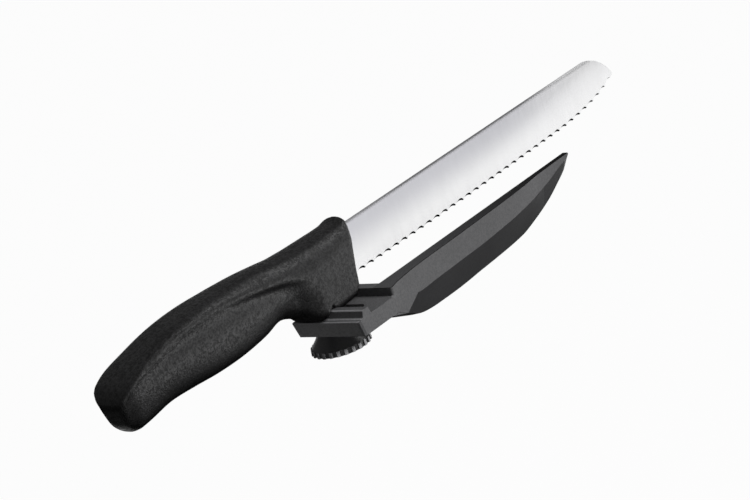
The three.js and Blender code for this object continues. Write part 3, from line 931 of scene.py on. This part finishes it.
def make_insert():
    """A turned brass nut with two knurled bands and a waist between them."""
    low, high = INSERT_LOW.z, INSERT_HIGH.z
    middle = (low + high) / 2
    radius = (INSERT_HIGH.x - INSERT_LOW.x) / 2
    band = radius - KNURL_DEPTH
    waist = band - WAIST_DEPTH
    bore = STUD_HIGH.x - AXIS_X + BORE_GAP
    rings = [
        (bore, low), (band - INSERT_EASE, low), (band, low + INSERT_EASE), (band, middle - BAND_START),
        (waist, middle - WAIST_HALF), (waist, middle + WAIST_HALF), (band, middle + BAND_START),
        (band, high - INSERT_EASE), (band - INSERT_EASE, high), (bore, high),
    ]
    piece = turn_tube("knurled_insert", rings, KNURLS * KNURL_FACES)
    pitch = 2 * math.pi / KNURLS

    def on_knurl(face):
        out, angle = on_axis(face.center)
        on_band = out > band - KNURL_DEPTH / 4 and abs(face.normal.z) < KNURL_LEAN
        return on_band and (angle % pitch) / pitch < KNURL_SHARE

    pick_faces(piece, on_knurl)
    bpy.ops.mesh.extrude_region_move(TRANSFORM_OT_translate={"value": (0, 0, 0)})
    grown = radius / band
    bpy.ops.transform.resize(value=(grown, grown, 1), center_override=(AXIS_X, AXIS_Y, middle))
    leave()
    smooth_by(piece, THREAD_CREASE)
    dress(piece, insert_brass)
    stands_for(piece, "threaded_insert", "knife")


make_knob()
make_stud()
make_washer()
make_insert()


# Studio

FLOOR_DROP = 0.3
FLOOR_SIZE = 14
FLOOR_GLOW = 0.97
FLOOR_GREY = 0.4
FLAG_DROP = 0.12
CARD_DROP = 0.118
CAMERA_SENSOR = 36
CAMERA_LENS = 124.38
CAMERA_PLACE = (-0.78519, -0.69962, 0.30354)
CAMERA_RIGHT = (0.58468, -0.75874, -0.28716)
CAMERA_UP = (0.40616, -0.03264, 0.91322)
CAMERA_BACK = (-0.70227, -0.65058, 0.28909)


def sheet_of(name, x, y, height):
    """A flat sheet of the studio."""
    bpy.ops.object.select_all(action="DESELECT")
    bpy.ops.mesh.primitive_plane_add(size=1)
    sheet = bpy.context.object
    sheet.name = name
    sheet.location = ((x[0] + x[1]) / 2, (y[0] + y[1]) / 2, height)
    sheet.scale = (x[1] - x[0], y[1] - y[0], 1)
    return sheet


def studio_floor():
    """A pale floor that the camera and reflections see as white, with the object's shadow on it."""
    half = FLOOR_SIZE / 2
    floor = sheet_of("studio_floor", (-half, half), (-half, half), -FLOOR_DROP)
    material = bpy.data.materials.new("floor_white")
    material.use_nodes = True
    tree = material.node_tree
    tree.nodes.clear()
    card = put(tree, "ShaderNodeBsdfDiffuse")
    card.inputs["Color"].default_value = (FLOOR_GREY, FLOOR_GREY, FLOOR_GREY, 1)
    white = put(tree, "ShaderNodeEmission")
    path = put(tree, "ShaderNodeLightPath").outputs
    seen = math_node(tree, "MAXIMUM", path["Is Camera Ray"], path["Is Glossy Ray"])
    seen = math_node(tree, "MAXIMUM", seen, path["Is Transmission Ray"])
    mix = put(tree, "ShaderNodeMixShader")
    tree.links.new(math_node(tree, "MULTIPLY", seen, FLOOR_GLOW), mix.inputs["Fac"])
    tree.links.new(card.outputs[0], mix.inputs[1])
    tree.links.new(white.outputs[0], mix.inputs[2])
    tree.links.new(mix.outputs[0], put(tree, "ShaderNodeOutputMaterial").inputs["Surface"])
    floor.data.materials.append(material)


def studio_card(name, x, y, glow):
    """A card below the knife that its glossy sides mirror, black or glowing. The camera doesn't see it."""
    card = sheet_of(name, x, y, -CARD_DROP if glow else -FLAG_DROP)
    card.visible_camera = False
    card.visible_diffuse = False
    card.visible_shadow = False
    material = bpy.data.materials.new(name)
    material.use_nodes = True
    tree = material.node_tree
    tree.nodes.clear()
    light = put(tree, "ShaderNodeEmission")
    light.inputs["Strength"].default_value = glow
    tree.links.new(light.outputs[0], put(tree, "ShaderNodeOutputMaterial").inputs["Surface"])
    card.data.materials.append(material)


def softbox(name, place, aim, wide, high, power):
    """A soft lamp turned towards its aim, which the camera doesn't see."""
    light = bpy.data.lights.new(name, "AREA")
    light.shape = "RECTANGLE"
    light.size = wide
    light.size_y = high
    light.energy = power
    lamp = bpy.data.objects.new(name, light)
    lamp.visible_camera = False
    bpy.context.scene.collection.objects.link(lamp)
    lamp.location = place
    lamp.rotation_euler = (Vector(aim) - Vector(place)).to_track_quat("-Z", "Y").to_euler()
    return lamp


def studio_world(strength):
    world = bpy.data.worlds.new("studio_wall")
    bpy.context.scene.world = world
    world.use_nodes = True
    wall = world.node_tree.nodes["Background"]
    wall.inputs["Color"].default_value = (1, 1, 1, 1)
    wall.inputs["Strength"].default_value = strength


def photo_camera():
    data = bpy.data.cameras.new("photo_camera")
    data.sensor_fit = "HORIZONTAL"
    data.sensor_width = CAMERA_SENSOR
    data.lens = CAMERA_LENS
    camera = bpy.data.objects.new("photo_camera", data)
    bpy.context.scene.collection.objects.link(camera)
    facing = Matrix((CAMERA_RIGHT, CAMERA_UP, CAMERA_BACK)).transposed()
    camera.matrix_world = Matrix.Translation(CAMERA_PLACE) @ facing.to_4x4()
    bpy.context.scene.camera = camera


studio_floor()
studio_card("flag_below", x=(-3, 0.25), y=(-0.1, 3), glow=0)
studio_card("flag_behind", x=(-0.3, -0.03), y=(-0.28, -0.1), glow=0)
studio_card("flag_beside", x=(-0.03, 0.1), y=(-0.125, -0.1), glow=0)
studio_card("belly_card", x=(0, 0.1), y=(-0.24, -0.125), glow=2.8)
studio_card("flange_card", x=(-0.22, -0.12), y=(0.07, 0.16), glow=0.9)
key = softbox("key_softbox", place=(0.1, -0.82, 0.66), aim=(-0.02, 0, 0), wide=0.5, high=0.5, power=11)
key.visible_glossy = False
shine = softbox("ridge_softbox", place=(0.62, -0.45, 0.42), aim=(-0.1, 0, 0), wide=0.4, high=0.4, power=1.3)
shine.visible_diffuse = False
studio_world(strength=0.13)
photo_camera()
bpy.context.scene.view_settings.view_transform = "Standard"
